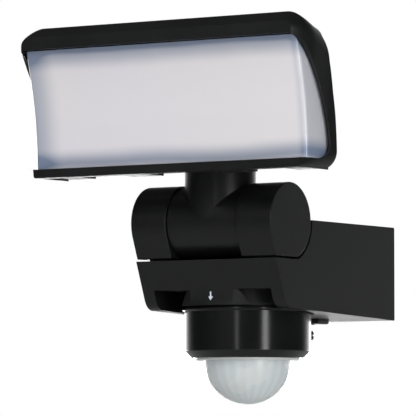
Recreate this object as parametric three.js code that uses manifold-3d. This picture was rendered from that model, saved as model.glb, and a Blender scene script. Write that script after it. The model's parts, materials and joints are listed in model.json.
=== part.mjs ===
// Wall flood light: a tilting and turning lamp head on a yoke, a wall housing and a turning motion
// sensor below it. Millimetres, +Z up, +Y into the wall, origin at the middle of the wall face.
import * as THREE from 'three';
import { mergeVertices } from 'three/addons/utils/BufferGeometryUtils.js';
import Module from 'manifold-3d';

const wasm = await Module();
wasm.setup();

// ---- driving dimensions ------------------------------------------------------------------------
const GAP = 0.35; // clearance left between touching pieces
const YOKE_FROM_WALL = 113; // tilt axis to the wall face
const YOKE_ABOVE_ORIGIN = 25; // tilt axis above the middle of the wall face

// wall housing
const HALF_WIDTH = 45.5;
const WALL = 3;
const GASKET = 1; // foam between the housing's rim and the wall
const BOX_TOP = 1.2;
const BOX_BOTTOM_AT_WALL = -51.6;
const BLOCK_BOTTOM = -47.6;
const BLOCK_FLOOR = -20.8; // floor of the cradle that the yoke sits in
const BLOCK_FRONT_TOP = -15.5;
const FACE_LEAN = THREE.MathUtils.degToRad(22); // the front face leans back going down
const CRADLE_R = 22.2;
const NOTCH_HALF = 38;
const NOTCH_TOP = -36.8;
const COLLAR_R = 34;
const COLLAR_END = -45.7;
const PAD_R = 39.6; // pad with the turning mark, standing out of the leaning face
const PAD_BOTTOM = -45.4;

// yoke and tilting knuckle
const ARM_R = 21;
const ARM_INNER_X = 22.8;
const ARM_FLAT = -19.7;
const KNUCKLE_R = 19.7;
const AXLE_R = 4;
const STEM_TOP = 30.4;
const SPIGOT_R = 13.5;
const SOCKET_LOW = 31;
const SOCKET_HIGH = 60;

// lamp head, measured from the tilt axis
const LAMP_HALF = 92.5;
const OPENING_HALF = 88;
const LIP_BOTTOM = 25;
const LIP_TOP = 29.2;
const LIP_FRONT = -57;
const HOOD_UNDER = 94.3;
const HOOD_TOP = 106.8;
const HOOD_BREAK_Y = -57.4; // the roof falls behind this and is chamfered before it
const CHAMFER = [10, 5.9]; // depth and rise
const CHEEK_BACK_Y = -29.4;
const CHEEK_SWEEP_R = 29; // outer front edge of each cheek, from above
const LIP_INSET = 6.9; // how far the lip's front ends are drawn in
const ARC_MID_Z = 26; // height where the bowed faces run straight up
const ARC_R = 210;
const FACE_Y = -52.2; // diffuser front at that height
const DIFFUSER_BACK_Y = -33.3;
const BEZEL_BACK_Y = -29.3;
const COVER_BACK_Y = -25.3;

// motion sensor
const SENSOR_Y = 28;
const SENSOR_R = 35.1;
const FLANGE_R = 36.3;
const SENSOR_TOP = -46.1;
const SENSOR_BOTTOM = -73.9;
const LENS_R = 24.4;
const LENS_CENTRE = -75;
const NECK_R = 22.2;
const KNOB_ANGLES = { range_knob: 50, time_knob: 90, dusk_knob: 130 }; // degrees round from +X
const KNOB_Z = -61;

// ---- materials ---------------------------------------------------------------------------------
const finish = (color, roughness, metalness = 0) => () =>
  new THREE.MeshStandardMaterial({ color, roughness, metalness });
const blackPlastic = finish(0x26272a, 0.45);
const innerPlastic = finish(0x3a3b3d, 0.6);
const whitePlastic = finish(0xe6e8ea, 0.5);
const milkyPlastic = finish(0xcfcdd6, 0.4);
const lensPlastic = finish(0xb4bcc0, 0.35);
const rubber = finish(0x1c1c1c, 0.85);
const steel = finish(0xb8babd, 0.35, 1);
const aluminium = finish(0xc4c6c8, 0.4, 1);
const boardGreen = finish(0x1f5a3a, 0.5);
const boardWhite = finish(0xf2f2ee, 0.5);

// ---- solids ------------------------------------------------------------------------------------
function toSolid(geometry) {
  const bare = geometry.index ? geometry.toNonIndexed() : geometry.clone();
  for (const name of Object.keys(bare.attributes)) {
    if (name !== 'position') bare.deleteAttribute(name);
  }
  const merged = mergeVertices(bare, 1e-4);
  const shell = new wasm.Mesh({
    numProp: 3,
    vertProperties: new Float32Array(merged.attributes.position.array),
    triVerts: new Uint32Array(merged.index.array),
  });
  return new wasm.Manifold(shell);
}

function toGeometry(solid) {
  const shell = solid.getMesh();
  const geometry = new THREE.BufferGeometry();
  geometry.setAttribute('position', new THREE.BufferAttribute(shell.vertProperties, 3));
  geometry.setIndex(new THREE.BufferAttribute(shell.triVerts, 1));
  return geometry;
}

const join = (first, ...rest) => rest.reduce((sum, next) => sum.add(next), first);
const cut = (first, ...rest) => rest.reduce((left, next) => left.subtract(next), first);

function box(xRange, yRange, zRange) {
  const size = [xRange, yRange, zRange].map(([low, high]) => high - low);
  const middle = [xRange, yRange, zRange].map(([low, high]) => (low + high) / 2);
  return toSolid(new THREE.BoxGeometry(...size).translate(...middle));
}

// A shape drawn in (y, z), pushed along X.
function alongX(shape, low, high, curveSegments = 16) {
  const geometry = new THREE.ExtrudeGeometry(shape, {
    depth: high - low, bevelEnabled: false, curveSegments,
  });
  const turn = new THREE.Matrix4().set(0, 0, 1, low, 1, 0, 0, 0, 0, 1, 0, 0, 0, 0, 0, 1);
  return toSolid(geometry.applyMatrix4(turn));
}

// A shape drawn in (x, z), pushed along Y.
function alongY(shape, low, high, curveSegments = 10) {
  const geometry = new THREE.ExtrudeGeometry(shape, {
    depth: high - low, bevelEnabled: false, curveSegments,
  });
  return toSolid(geometry.rotateX(Math.PI / 2).translate(0, high, 0));
}

// A profile of [radius, z] pairs, turned about an upright axis. It starts and ends on the axis,
// or is a closed ring when closed is true.
function turned(profile, { y = 0, segments = 36, closed = false } = {}) {
  const points = profile.map(([radius, z]) => new THREE.Vector2(radius, z));
  if (THREE.ShapeUtils.isClockWise(points)) points.reverse();
  if (closed) points.push(points[0].clone());
  const geometry = new THREE.LatheGeometry(points, segments);
  return toSolid(geometry.rotateX(Math.PI / 2).translate(0, y, 0));
}

const disc = (radius, low, high, options) =>
  turned([[0, low], [radius, low], [radius, high], [0, high]], options);
const ring = (inner, outer, low, high, options) =>
  turned([[inner, low], [outer, low], [outer, high], [inner, high]], { ...options, closed: true });

function rodX(radius, low, high, segments = 24) {
  const rod = new THREE.CylinderGeometry(radius, radius, high - low, segments);
  return toSolid(rod.rotateZ(Math.PI / 2).translate((low + high) / 2, 0, 0));
}

function rodY(radius, low, high, x, z, segments = 20) {
  const rod = new THREE.CylinderGeometry(radius, radius, high - low, segments);
  return toSolid(rod.translate(x, (low + high) / 2, z));
}

// ---- the assembly ------------------------------------------------------------------------------
const light = new THREE.Group();
light.position.set(0, -YOKE_FROM_WALL, YOKE_ABOVE_ORIGIN);

function addPiece(name, solid, material) {
  const mesh = new THREE.Mesh(toGeometry(solid), material());
  mesh.name = name;
  light.add(mesh);
}

// A pan-head screw with its slotted head at the bottom and its axis upright at (x, y).
function uprightScrew(x, y, headFace, length, headR, shankR) {
  const profile = [
    [0, headFace], [headR, headFace], [headR, headFace + 2.2], [shankR, headFace + 2.2],
    [shankR, headFace + length], [0, headFace + length],
  ];
  const slot = box([-headR, headR], [-0.5, 0.5], [headFace - 1, headFace + 0.9]);
  return cut(turned(profile, { segments: 16 }), slot).translate([x, y, 0]);
}

// ---- wall housing ------------------------------------------------------------------------------
function housingOutline(inset) {
  const wallY = inset ? YOKE_FROM_WALL + 5 : YOKE_FROM_WALL - GASKET - GAP;
  const top = BOX_TOP - inset;
  const floor = BLOCK_FLOOR - inset;
  const cradle = CRADLE_R + inset;
  const topAngle = Math.asin(top / cradle);
  const floorAngle = Math.asin(floor / cradle);
  const leanShift = inset / Math.cos(FACE_LEAN);
  const frontTop = BLOCK_FRONT_TOP + leanShift + inset * Math.tan(FACE_LEAN);
  const bottom = BLOCK_BOTTOM + inset;
  const bend = 6; // the bottom front corner is rounded over this length
  const frontAt = (z) => frontTop + (floor - z) * Math.tan(FACE_LEAN);
  const shape = new THREE.Shape();
  shape.moveTo(wallY, BOX_BOTTOM_AT_WALL + inset);
  shape.lineTo(wallY, top);
  shape.absarc(0, 0, cradle, topAngle, floorAngle, true);
  shape.lineTo(frontTop, floor);
  shape.lineTo(frontAt(bottom + bend), bottom + bend);
  shape.quadraticCurveTo(frontAt(bottom), bottom, frontAt(bottom) + bend, bottom);
  shape.closePath();
  return shape;
}

const BOSS_Y = 92;
const WIRE_SLOT = [7.6, 14.5];
const FOOT_SCREW_Y = [-5.5, 3.5];
const FOOT_SCREWS = [-34, 34].flatMap((x) => FOOT_SCREW_Y.map((y) => [x, y]));

// The part of a cylinder about the sensor's axis that lies ahead of the leaning face.
function turnPad() {
  const faceAt = (z) => BLOCK_FRONT_TOP + (BLOCK_FLOOR - z) * Math.tan(FACE_LEAN) + 1;
  const ahead = new THREE.Shape([[-30, -60], [faceAt(-60), -60], [faceAt(-26), -26], [-30, -26]]
    .map(([y, z]) => new THREE.Vector2(y, z)));
  const web = box([-10, 10], [-20, -3], [PAD_BOTTOM, NOTCH_TOP + 1]);
  return disc(PAD_R, PAD_BOTTOM, -26, { y: SENSOR_Y, segments: 72 })
    .intersect(alongX(ahead, -24, 24).add(web));
}

function wallHousing() {
  const outer = alongX(housingOutline(0), -HALF_WIDTH, HALF_WIDTH, 14);
  const room = alongX(housingOutline(WALL), -HALF_WIDTH + WALL, HALF_WIDTH - WALL, 14);
  const pocket = box([-NOTCH_HALF - WALL, NOTCH_HALF + WALL], [-20, SENSOR_Y + WALL],
    [-60, NOTCH_TOP + WALL]);
  const seat = disc(FLANGE_R + 4, -60, COLLAR_END + WALL, { y: SENSOR_Y });
  const notch = box([-NOTCH_HALF, NOTCH_HALF], [-40, SENSOR_Y], [-60, NOTCH_TOP]);
  const recess = disc(FLANGE_R + 1, -70, COLLAR_END, { y: SENSOR_Y });
  const collar = disc(COLLAR_R, COLLAR_END, NOTCH_TOP + 1, { y: SENSOR_Y });
  const boss = box([-11, 11], [BOSS_Y - 7, BOSS_Y + 6], [-53.6, -48]);
  let shell = join(cut(outer, room), pocket.add(seat).intersect(outer), boss);
  shell = join(cut(shell, notch, recess), collar, turnPad());
  shell = cut(shell,
    disc(COLLAR_R - WALL, COLLAR_END + WALL, -30, { y: SENSOR_Y }),
    disc(NECK_R + 0.5, -60, -40, { y: SENSOR_Y }),
    disc(2.4, -60, -40, { y: BOSS_Y, segments: 16 }),
    disc(4.4, -60, -51.6, { y: BOSS_Y, segments: 16 }),
    box([-7, 7], WIRE_SLOT, [-30, 0]));
  for (const [x, y] of FOOT_SCREWS) {
    const hole = disc(2.3, -26.7, -15, { segments: 16 }).add(disc(3.6, -26.7, -23.8, { segments: 16 }));
    shell = cut(shell, hole.translate([x, y, 0]));
  }
  return shell;
}

addPiece('wall_housing', wallHousing(), blackPlastic);

const gasketBand = (inset, low) => box([-HALF_WIDTH + inset, HALF_WIDTH - inset],
  [low, YOKE_FROM_WALL + (low < YOKE_FROM_WALL - GASKET ? 1 : 0)],
  [BOX_BOTTOM_AT_WALL + inset, BOX_TOP - inset]);
addPiece('wall_gasket', cut(gasketBand(0.6, YOKE_FROM_WALL - GASKET), gasketBand(2.6, 100)), rubber);

// The bracket stands just inside the open back of the housing, flush with the wall.
const BRACKET_BACK = YOKE_FROM_WALL;
const BRACKET_THICK = 3;
const BRACKET_X = HALF_WIDTH - WALL - 0.6;
const ENTRY_Z = -38;

function wallBracket() {
  const plate = box([-BRACKET_X, BRACKET_X], [BRACKET_BACK - BRACKET_THICK, BRACKET_BACK],
    [-47.6, BOX_TOP - WALL - 0.6]);
  const tab = box([-7, 7], [BOSS_Y - 5, BRACKET_BACK - 1], [-47.4, -44.9]);
  let bracket = plate.add(tab);
  for (const x of [-32, 32]) {
    const slot = box([x - 2.3, x + 2.3], [100, 120], [-31, -14]);
    bracket = cut(bracket, slot, rodY(4.5, 100, 120, x, -31));
  }
  return cut(bracket, rodY(8.4, 100, 120, 0, ENTRY_Z, 24),
    disc(2.4, -60, -40, { y: BOSS_Y, segments: 16 }));
}

addPiece('wall_bracket', wallBracket(), steel);
addPiece('cable_grommet', cut(
  join(rodY(8, BRACKET_BACK - 6, BRACKET_BACK - 0.2, 0, ENTRY_Z, 24),
    rodY(8.4, BRACKET_BACK - 6, BRACKET_BACK - BRACKET_THICK - GAP, 0, ENTRY_Z, 24)),
  rodY(3.6, 90, 130, 0, ENTRY_Z, 16)), rubber);
addPiece('housing_lock_screw', uprightScrew(0, BOSS_Y, -53.9, 10, 3.9, 2), steel);

// ---- driver electronics ------------------------------------------------------------------------
const BOARD_Z = -12;
const board = cut(box([-38, 38], [36, 100], [BOARD_Z, BOARD_Z + 1.6]),
  disc(1.9, -20, 0, { y: 42, segments: 16 }).translate([-33, 0, 0]),
  disc(1.9, -20, 0, { y: 94, segments: 16 }).translate([33, 0, 0]));
addPiece('driver_board', board, boardGreen);
addPiece('driver_transformer', box([-30, -8], [44, 66], [BOARD_Z - 13, BOARD_Z - GAP]), innerPlastic);
addPiece('driver_capacitor', disc(8, BOARD_Z - 13, BOARD_Z - GAP, { y: 54, segments: 24 })
  .translate([14, 0, 0]), innerPlastic);
addPiece('driver_relay', box([6, 34], [68, 80], [BOARD_Z - 13, BOARD_Z - GAP]), whitePlastic);
let terminals = box([-34, -2], [72, 90], [BOARD_Z - 16, BOARD_Z - GAP]);
for (const x of [-28, -18, -8]) {
  terminals = cut(terminals, rodY(2.6, 76, 95, x, BOARD_Z - 9, 12));
}
addPiece('terminal_block', terminals, whitePlastic);
addPiece('board_screw_front', uprightScrew(-33, 42, BOARD_Z - 2.6, 12, 3.2, 1.5), steel);
addPiece('board_screw_rear', uprightScrew(33, 94, BOARD_Z - 2.6, 12, 3.2, 1.5), steel);

// ---- yoke --------------------------------------------------------------------------------------
function armOutline() {
  const tangent = Math.PI + FACE_LEAN;
  const corner = -ARM_R * Math.cos(FACE_LEAN)
    + (-ARM_FLAT - ARM_R * Math.sin(FACE_LEAN)) * Math.tan(FACE_LEAN);
  const shape = new THREE.Shape();
  shape.moveTo(ARM_R * Math.cos(tangent), ARM_R * Math.sin(tangent));
  shape.lineTo(corner, ARM_FLAT);
  shape.absarc(0, 0, ARM_R, Math.asin(ARM_FLAT / ARM_R), tangent, false);
  shape.closePath();
  return shape;
}

function yokeArm(side) {
  const inner = side * ARM_INNER_X;
  const outer = side * HALF_WIDTH;
  let arm = alongX(armOutline(), Math.min(inner, outer), Math.max(inner, outer), 18);
  arm = arm.add(box([side * 34 - 6, side * 34 + 6], [-10, 6.5], [BLOCK_FLOOR + GAP, ARM_FLAT + 1]));
  const bore = [side * (ARM_INNER_X - 5), side * (ARM_INNER_X + 15)];
  arm = cut(arm, rodX(AXLE_R + GAP, Math.min(...bore), Math.max(...bore)));
  for (const y of FOOT_SCREW_Y) {
    arm = cut(arm, disc(2.3, -30, -12, { segments: 16 }).translate([side * 34, y, 0]));
  }
  return arm;
}

addPiece('yoke_arm_left', yokeArm(-1), blackPlastic);
addPiece('yoke_arm_right', yokeArm(1), blackPlastic);
FOOT_SCREWS.forEach(([x, y], index) => {
  addPiece(`yoke_screw_${index + 1}`,
    uprightScrew(x, y, BLOCK_FLOOR - WALL - GAP - 2.2, 12, 3.2, 1.9), steel);
});
addPiece('tilt_axle', rodX(AXLE_R, -ARM_INNER_X - 14, ARM_INNER_X + 14), steel);
for (const [name, side] of [['friction_washer_left', -1], ['friction_washer_right', 1]]) {
  const [low, high] = side > 0 ? [21.3, 22.4] : [-22.4, -21.3];
  addPiece(name, cut(rodX(14, low, high), rodX(AXLE_R + GAP, low - 1, high + 1)), rubber);
}

// ---- tilting knuckle ---------------------------------------------------------------------------
function tiltKnuckle() {
  const half = ARM_INNER_X - GAP;
  const stem = turned([
    [0, 0], [KNUCKLE_R, 0], [KNUCKLE_R, STEM_TOP], [SPIGOT_R, STEM_TOP], [SPIGOT_R, SOCKET_HIGH],
    [11, SOCKET_HIGH], [11, 62.5], [12.6, 62.5], [12.6, 64.2], [0, 64.2],
  ], { segments: 36 });
  const seats = [rodX(14.3, -half - 1, -21), rodX(14.3, 21, half + 1)];
  return cut(join(rodX(KNUCKLE_R, -half, half, 36), stem), ...seats,
    rodX(AXLE_R + GAP, -30, 30), disc(8.5, 7, 70, { segments: 24 }),
    box([-8, 8], [5.5, 30], [-25, 10]));
}

addPiece('tilt_knuckle', tiltKnuckle(), blackPlastic);

// ---- lamp head ---------------------------------------------------------------------------------
const bowed = (startY, z) => startY - (ARC_R - Math.sqrt(ARC_R ** 2 - (z - ARC_MID_Z) ** 2));

// A slab between two bowed faces, drawn in (y, z).
function bowedSlab(frontY, backY, low, high, steps = 8) {
  const heights = Array.from({ length: steps + 1 }, (_, i) => low + (high - low) * i / steps);
  const front = heights.map((z) => new THREE.Vector2(bowed(frontY, z), z));
  const back = heights.map((z) => new THREE.Vector2(bowed(backY, z), z)).reverse();
  return new THREE.Shape([...front, ...back]);
}

// A closed solid skinned through rings of points that all have the same count. Each end ring
// can be seen whole from its own first point.
function loft(rings) {
  const count = rings[0].length;
  const last = (rings.length - 1) * count;
  const index = [];
  for (let row = 0; row < last; row += count) {
    for (let i = 0; i < count; i += 1) {
      const [a, b] = [row + i, row + (i + 1) % count];
      index.push(a, b, b + count, a, b + count, a + count);
    }
  }
  for (let i = 1; i < count - 1; i += 1) index.push(0, i + 1, i, last, last + i, last + i + 1);
  const corners = rings.flat().map((point) => new THREE.Vector3(...point));
  const volume = index.reduce((sum, _, k) => (k % 3 ? sum : sum + corners[index[k]].dot(
    corners[index[k + 1]].clone().cross(corners[index[k + 2]]))), 0);
  if (volume < 0) index.reverse();
  const geometry = new THREE.BufferGeometry().setFromPoints(corners);
  geometry.setIndex(index);
  return toSolid(geometry);
}

function arc([u, v], radius, start, end, steps) {
  return Array.from({ length: steps + 1 }, (_, i) => {
    const angle = THREE.MathUtils.degToRad(start + (end - start) * i / steps);
    return [u + radius * Math.cos(angle), v + radius * Math.sin(angle)];
  });
}

function bezier(points, steps) {
  const [a, b, c, d] = points.map(([y, z]) => new THREE.Vector2(y, z));
  return new THREE.CubicBezierCurve(a, b, c, d).getPoints(steps).map(({ x, y }) => [x, y]);
}

// Rounded front outlines that draw in toward the front: a chamfered roof and swept cheeks.
function bezelForm() {
  const sweepY = HOOD_BREAK_Y + 7.1;
  const frontY = HOOD_BREAK_Y - CHAMFER[0];
  const share = (y, from, to) => THREE.MathUtils.clamp((y - from) / (to - from), 0, 1);
  const stations = [0, CHEEK_BACK_Y - 0.5, -40, sweepY, HOOD_BREAK_Y, -60, -63, -65.4, frontY];
  return loft(stations.map((y) => {
    const ahead = share(y, HOOD_BREAK_Y, frontY);
    const lip = share(y, CHEEK_BACK_Y, LIP_FRONT);
    const swept = Math.max(0, sweepY - y);
    const highHalf = LAMP_HALF - CHEEK_SWEEP_R + Math.sqrt(CHEEK_SWEEP_R ** 2 - swept ** 2);
    const lowHalf = LAMP_HALF - LIP_INSET * lip;
    const top = HOOD_TOP - CHAMFER[1] * ahead - Math.max(0, y - HOOD_BREAK_Y) * 0.235;
    const lowR = THREE.MathUtils.lerp(10, 1.2, lip);
    const highR = THREE.MathUtils.lerp(13, 4.6, ahead ** 0.8);
    const right = [
      ...arc([lowHalf - lowR, LIP_BOTTOM - 0.6 + lowR], lowR, -90, 0, 4),
      ...arc([highHalf - highR, top - highR], highR, 0, 90, 6)];
    const left = right.map(([x, z]) => [-x, z]).reverse();
    return [...right, ...left].map(([x, z]) => [x, y, z]);
  }));
}

// What is cleared before a cheek's front edge, flared outward into a slanting land.
function cheekSweep(side) {
  const inner = [
    ...bezier([[-46, LIP_TOP], [-36.8, LIP_TOP], [-32.1, 32], [-32, 37.5]], 4),
    ...bezier([[-32, 38], [-33.5, 58], [-48, 84], [-67.8, HOOD_UNDER]], 10)];
  const outer = [
    ...bezier([[-50, LIP_TOP], [-40.9, LIP_TOP], [-36.3, 31.6], [-36, 36.5]], 4),
    ...bezier([[-36, 37], [-39, 58], [-53, 82], [-68.2, 101.6]], 10)];
  const stations = [[OPENING_HALF - 2, inner], [OPENING_HALF, inner], [LAMP_HALF + 1, outer]];
  return loft(stations.map(([x, edge]) => [[-90, LIP_TOP], ...edge, [-90, edge.at(-1)[1]]]
    .map(([y, z]) => [side * x, y, z])));
}

function lampBezel() {
  const steps = 8;
  const back = Array.from({ length: steps + 1 }, (_, i) => 94 - (94 - 30) * i / steps)
    .map((z) => [bowed(BEZEL_BACK_Y, z), z]);
  const outline = [[-72, LIP_BOTTOM - 0.6], [-72, 112], [-39.5, 112], [-39.5, 102.6], [-37.8, 99],
    ...back, [COVER_BACK_Y, LIP_TOP], [COVER_BACK_Y, LIP_BOTTOM - 0.6]];
  const hoodRoom = [[-64, 90], [-64, 99.3], [-56.8, 103.2], [-41.5, 99.4], [-41, 90]];
  const asShape = (pairs) => new THREE.Shape(pairs.map(([y, z]) => new THREE.Vector2(y, z)));
  const body = alongX(asShape(outline), -LAMP_HALF, LAMP_HALF).intersect(bezelForm());
  const ends = [-100, OPENING_HALF + 0.4].map((x) => box([x, x + 11.6], [CHEEK_BACK_Y, 0],
    [20, LIP_TOP + 6]));
  return cut(body, cheekSweep(-1), cheekSweep(1), ...ends,
    box([-100, 100], [-90, LIP_FRONT], [20, LIP_TOP + 0.1]),
    box([-OPENING_HALF, OPENING_HALF], [-90, 0], [LIP_TOP, HOOD_UNDER]),
    alongX(asShape(hoodRoom), -81, 81), box([-84.2, 84.2], [-50, 0], [0, 40]));
}

addPiece('lamp_bezel', lampBezel(), blackPlastic);

const DIFFUSER_HALF = 87.5;
function diffuser() {
  const low = LIP_TOP + GAP;
  const high = HOOD_UNDER - GAP;
  const body = alongX(bowedSlab(FACE_Y, DIFFUSER_BACK_Y, low, high), -DIFFUSER_HALF, DIFFUSER_HALF);
  const hollow = alongX(bowedSlab(FACE_Y + 2, DIFFUSER_BACK_Y + 5, low + 2, high - 2),
    -DIFFUSER_HALF + 2, DIFFUSER_HALF - 2);
  let shell = body;
  // the upright front corners are rounded off by the bowed quarter strips left outside them
  for (const side of [-1, 1]) {
    const strip = (front, back, inner) => alongX(bowedSlab(front, back, low - 1, high + 1),
      Math.min(side * inner, side * (DIFFUSER_HALF + 1)),
      Math.max(side * inner, side * (DIFFUSER_HALF + 1)));
    shell = cut(shell, strip(FACE_Y - 1, FACE_Y + 0.35, DIFFUSER_HALF - 1.6),
      strip(FACE_Y - 1, FACE_Y + 1.2, DIFFUSER_HALF - 0.6));
  }
  return cut(shell, hollow);
}

addPiece('diffuser', diffuser(), milkyPlastic);

const COVER_HALF = OPENING_HALF - GAP;
const PLATE_HALF = 82.5;
const COVER_SCREWS = [[-72, 42], [72, 42], [-72, 84], [72, 84]];
const RIBS = [[-83.4, -65.8], [-40, -20.7], [20.7, 40], [65.8, 83.4]];

function ledBoard() {
  let plate = alongX(bowedSlab(-32.9, -31.7, 34.5, 91), -PLATE_HALF, PLATE_HALF);
  const columns = 10;
  for (const z of [45, 62, 79]) {
    for (let i = 0; i < columns; i += 1) {
      const x = (i - (columns - 1) / 2) * 15;
      const front = bowed(-32.9, z);
      plate = join(plate, box([x - 1.7, x + 1.7], [front - 0.8, front + 0.7], [z - 1.7, z + 1.7]));
    }
  }
  for (const [x, z] of COVER_SCREWS) plate = cut(plate, rodY(2.2, -60, -20, x, z, 12));
  return plate;
}

function heatPlate() {
  let plate = alongX(bowedSlab(-31.3, -29.8, 34.5, 91), -PLATE_HALF, PLATE_HALF);
  for (const [x, z] of COVER_SCREWS) plate = cut(plate, rodY(2, -60, -20, x, z, 12));
  return plate;
}

function rearCover() {
  const low = LIP_TOP + GAP;
  const slab = alongX(bowedSlab(DIFFUSER_BACK_Y + GAP, COVER_BACK_Y, low, HOOD_UNDER - GAP),
    -COVER_HALF, COVER_HALF);
  const tray = alongX(bowedSlab(-45, -28, 32.5, 92), -84.5, 84.5);
  const socket = disc(KNUCKLE_R, SOCKET_LOW, SOCKET_HIGH, { segments: 36 });
  const bridge = box([-15, 15], [-31, -10], [SOCKET_LOW + 3, SOCKET_HIGH]);
  let cover = join(cut(slab.add(bridge), tray), socket);
  for (const [left, right] of RIBS) {
    cover = join(cover, box([left, right], [-49.6, COVER_BACK_Y], [LIP_BOTTOM + 0.3, LIP_TOP]),
      box([left, right], [bowed(DIFFUSER_BACK_Y, 31) + 1, COVER_BACK_Y], [LIP_TOP - 1, 32]));
  }
  cover = cut(cover, disc(SPIGOT_R + GAP, 20, 80, { segments: 36 }));
  for (const [x, z] of COVER_SCREWS) {
    const back = bowed(COVER_BACK_Y, z);
    cover = cut(cover, rodY(1.9, -60, 0, x, z, 12), rodY(3.4, back - 1.2, 0, x, z, 16));
  }
  return cover;
}

addPiece('led_board', ledBoard(), boardWhite);
addPiece('heat_plate', heatPlate(), aluminium);
addPiece('rear_cover', rearCover(), blackPlastic);
COVER_SCREWS.forEach(([x, z], index) => {
  const seat = bowed(COVER_BACK_Y, z) - 0.9;
  const screw = join(rodY(3, seat, seat + 1.6, x, z, 16), rodY(1.5, seat - 7.5, seat + 0.5, x, z, 12));
  const slot = box([x - 4, x + 4], [seat + 0.9, seat + 3], [z - 0.4, z + 0.4]);
  addPiece(`cover_screw_${index + 1}`, cut(screw, slot), steel);
});
addPiece('pan_retaining_ring', ring(11.35, 16.6, SOCKET_HIGH + GAP, 62.1, { segments: 32 }), steel);
addPiece('socket_cap', turned([
  [17.2, SOCKET_HIGH + GAP], [KNUCKLE_R, SOCKET_HIGH + GAP], [KNUCKLE_R, 66], [17.8, 68],
  [0, 68], [0, 65.2], [17.2, 65.2],
], { segments: 36, closed: true }), blackPlastic);

// ---- motion sensor -----------------------------------------------------------------------------
const onSensor = { y: SENSOR_Y };

function sensorHousing() {
  let shell = turned([
    [18.2, -36], [20.6, -36], [20.6, -40.2], [NECK_R - 3, -40.2], [NECK_R - 3, -42.4],
    [NECK_R, -42.4], [NECK_R, SENSOR_TOP], [FLANGE_R, SENSOR_TOP], [FLANGE_R, -47.6],
    [SENSOR_R, -48.2], [SENSOR_R, -70], [31.2, SENSOR_BOTTOM], [28.95, SENSOR_BOTTOM],
    [28.95, -71.5], [32.5, -69.5], [32.5, -49], [18.2, -49],
  ], { y: 0, segments: 36, closed: true });
  for (const degrees of Object.values(KNOB_ANGLES)) {
    shell = cut(shell, knobTool(2.6, 28, 40, degrees));
  }
  return shell.translate([0, SENSOR_Y, 0]);
}

// A round bar pointing straight out of the sensor, between two distances from its axis.
function knobTool(radius, near, far, degrees, segments = 20) {
  const rod = new THREE.CylinderGeometry(radius, radius, far - near, segments);
  rod.rotateZ(-Math.PI / 2).translate((near + far) / 2, 0, 0);
  return toSolid(rod.rotateZ(THREE.MathUtils.degToRad(degrees)).translate(0, 0, KNOB_Z));
}

function adjusterKnob(degrees) {
  const cap = knobTool(2.9, SENSOR_R + 0.55, SENSOR_R + 3.1, degrees);
  const shaft = knobTool(2.2, 30, SENSOR_R + 1, degrees);
  const slot = box([SENSOR_R + 2.1, 45], [-3, 3], [KNOB_Z - 0.5, KNOB_Z + 0.5]).rotate([0, 0, degrees]);
  return cut(cap.add(shaft), slot).translate([0, SENSOR_Y, 0]);
}

addPiece('sensor_housing', sensorHousing(), blackPlastic);
addPiece('sensor_retainer', ring(19.5, 27, -42.35, -40.55, { ...onSensor, segments: 40 }), innerPlastic);
addPiece('sensor_board', disc(30.5, -66, -64.4, { ...onSensor, segments: 32 }), boardGreen);
addPiece('pyro_sensor', disc(4.6, -71.5, -66 - GAP, { ...onSensor, segments: 20 }), steel);
addPiece('lens_ring', ring(LENS_R + GAP, 28.6, -75, -71.2, onSensor), whitePlastic);

function sensorLens() {
  const dome = [];
  const steps = 8;
  const thickness = 1.2;
  for (let i = 0; i <= steps; i += 1) {
    const angle = (Math.PI / 2) * i / steps;
    dome.push([LENS_R * Math.cos(angle), LENS_CENTRE - LENS_R * Math.sin(angle)]);
  }
  const inside = dome.map(([radius, z]) => {
    const k = 1 - thickness / LENS_R;
    return [radius * k, LENS_CENTRE + (z - LENS_CENTRE) * k];
  }).reverse();
  dome[steps][0] = 0;
  inside[0][0] = 0;
  const top = -71.2;
  return turned([[LENS_R, top], ...dome, ...inside, [LENS_R - thickness, top]],
    { ...onSensor, closed: true });
}

addPiece('sensor_lens', sensorLens(), lensPlastic);
for (const [name, degrees] of Object.entries(KNOB_ANGLES)) {
  addPiece(name, adjusterKnob(degrees), blackPlastic);
}

export default light;
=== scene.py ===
"""Wall flood light: the fine shells, lens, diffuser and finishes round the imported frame."""

import json
import math

import bmesh
import bpy
from mathutils import Matrix, Vector


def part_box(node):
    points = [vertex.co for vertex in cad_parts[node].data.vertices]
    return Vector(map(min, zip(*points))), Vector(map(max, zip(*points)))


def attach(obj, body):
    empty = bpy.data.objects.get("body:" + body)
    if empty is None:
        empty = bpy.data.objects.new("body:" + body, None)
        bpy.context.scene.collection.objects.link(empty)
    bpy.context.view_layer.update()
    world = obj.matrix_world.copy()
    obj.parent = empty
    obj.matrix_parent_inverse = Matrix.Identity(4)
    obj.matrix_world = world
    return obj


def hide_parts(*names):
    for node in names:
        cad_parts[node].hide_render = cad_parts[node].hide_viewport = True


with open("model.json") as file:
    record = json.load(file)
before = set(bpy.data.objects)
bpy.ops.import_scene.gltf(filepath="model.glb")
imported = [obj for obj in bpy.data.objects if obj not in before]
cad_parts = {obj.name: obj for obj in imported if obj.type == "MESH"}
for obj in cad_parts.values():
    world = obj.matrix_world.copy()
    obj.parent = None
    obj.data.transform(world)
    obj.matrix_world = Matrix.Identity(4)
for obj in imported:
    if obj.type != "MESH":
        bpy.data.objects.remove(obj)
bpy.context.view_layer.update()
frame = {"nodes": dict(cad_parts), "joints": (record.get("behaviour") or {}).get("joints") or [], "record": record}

bl_info = {
    "name": "Wall flood light",
    "version": (1, 0, 0),
    "blender": (4, 5, 0),
    "location": "View3D > Sidebar > Flood light",
    "description": "Builds the shells, lens and finishes of a wall flood light",
    "category": "Object",
}

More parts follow.
